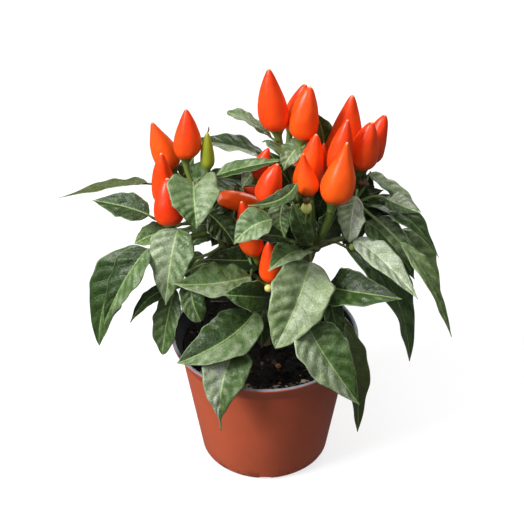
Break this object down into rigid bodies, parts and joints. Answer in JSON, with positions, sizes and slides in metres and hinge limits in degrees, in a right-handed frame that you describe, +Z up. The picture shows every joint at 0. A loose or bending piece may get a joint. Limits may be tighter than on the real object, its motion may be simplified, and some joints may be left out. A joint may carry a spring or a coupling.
{
  "type": "potted chilli pepper plant",
  "caption": "Ornamental chilli pepper plant with upright orange-red fruits and drooping leaves, growing in peat in a terracotta-coloured plastic nursery pot.",
  "frame": {"origin": "centre of the pot's flat underside", "axes": "+Z up, along the pot's axis; -Y is the side of the plant that faces the viewer; +X is to the viewer's right"},
  "size_m": [0.2403, 0.1625, 0.273],
  "materials": {
    "pot_plastic": "matte moulded",
    "soil_peat": "loose peat crumbs",
    "stem_bark": "satin, slightly ribbed",
    "leaf_green": "satin, waxy",
    "fruit_skin": "glossy, waxy"
  },
  "bodies": {
    "root": {"pot": "pot_plastic", "soil": "soil_peat", "stem": "stem_bark", "leaf_left_1": "leaf_green", "leaf_left_2": "leaf_green", "leaf_left_3": "leaf_green", "leaf_left_4": "leaf_green", "leaf_left_5": "leaf_green", "leaf_left_6": "leaf_green", "leaf_left_7": "leaf_green", "leaf_left_8": "leaf_green", "leaf_top_1": "leaf_green", "leaf_top_2": "leaf_green", "leaf_top_3": "leaf_green", "leaf_front_1": "leaf_green", "leaf_front_2": "leaf_green", "leaf_front_3": "leaf_green", "leaf_front_4": "leaf_green", "leaf_front_5": "leaf_green", "leaf_front_6": "leaf_green", "leaf_front_7": "leaf_green", "leaf_front_8": "leaf_green", "leaf_right_1": "leaf_green", "leaf_right_2": "leaf_green", "leaf_right_3": "leaf_green", "leaf_right_4": "leaf_green", "leaf_right_5": "leaf_green", "leaf_right_6": "leaf_green", "leaf_right_7": "leaf_green", "leaf_right_8": "leaf_green", "leaf_right_9": "leaf_green", "leaf_back_1": "leaf_green", "leaf_back_2": "leaf_green", "leaf_back_3": "leaf_green", "leaf_back_4": "leaf_green", "leaf_back_5": "leaf_green", "leaf_back_6": "leaf_green", "fruit_left_1": "fruit_skin", "fruit_left_2": "fruit_skin", "fruit_left_3": "fruit_skin", "fruit_left_4": "fruit_skin", "fruit_left_5": "fruit_skin", "fruit_top_1": "fruit_skin", "fruit_top_2": "fruit_skin", "fruit_top_3": "fruit_skin", "fruit_right_1": "fruit_skin", "fruit_right_2": "fruit_skin", "fruit_right_3": "fruit_skin", "fruit_right_4": "fruit_skin", "fruit_right_5": "fruit_skin", "fruit_middle_1": "fruit_skin", "fruit_middle_2": "fruit_skin", "fruit_middle_3": "fruit_skin", "fruit_middle_4": "fruit_skin", "fruit_front_1": "fruit_skin", "fruit_front_2": "fruit_skin", "fruit_front_3": "fruit_skin", "fruit_front_4": "fruit_skin", "fruit_back_1": "fruit_skin", "fruit_back_2": "fruit_skin"}
  },
  "joints": []
}
